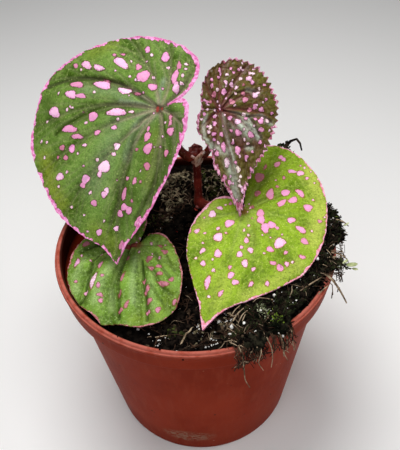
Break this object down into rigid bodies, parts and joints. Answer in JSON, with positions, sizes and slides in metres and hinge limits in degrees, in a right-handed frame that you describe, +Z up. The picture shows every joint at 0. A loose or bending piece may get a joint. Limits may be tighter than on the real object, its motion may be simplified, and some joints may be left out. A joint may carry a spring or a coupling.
{
  "type": "potted begonia",
  "caption": "Small begonia with pink-spotted, pink-edged leaves on red stems, in a round plastic nursery pot with soil and moss.",
  "frame": {"origin": "centre of the pot's underside, on the surface the pot stands on", "axes": "+Z up along the pot's axis; the plant's stem stands towards +Y and its two large leaves lean towards -Y, the viewer; +X to the viewer's right"},
  "size_m": [0.1349, 0.1234, 0.1687],
  "materials": {
    "pot_plastic": "satin, terracotta coloured, with scuffs",
    "peat": "crumbly, matt",
    "moss": "matt, fibrous",
    "red_stalk": "satin, dark red",
    "blade_a": "satin green with pink spots and a pink edge",
    "blade_b": "glossy dark olive with pink spots",
    "blade_c": "satin yellow-green with pink spots and a thin pink edge",
    "blade_d": "satin light green with a silvery sheen and dull pink spots"
  },
  "bodies": {
    "root": {"pot": "pot_plastic", "soil": "peat", "moss_mat": "moss", "stem": "red_stalk", "petiole_a": "red_stalk", "petiole_b": "red_stalk", "petiole_c": "red_stalk", "petiole_d": "red_stalk", "leaf_a": "blade_a", "leaf_b": "blade_b", "leaf_c": "blade_c", "leaf_d": "blade_d"}
  },
  "joints": []
}
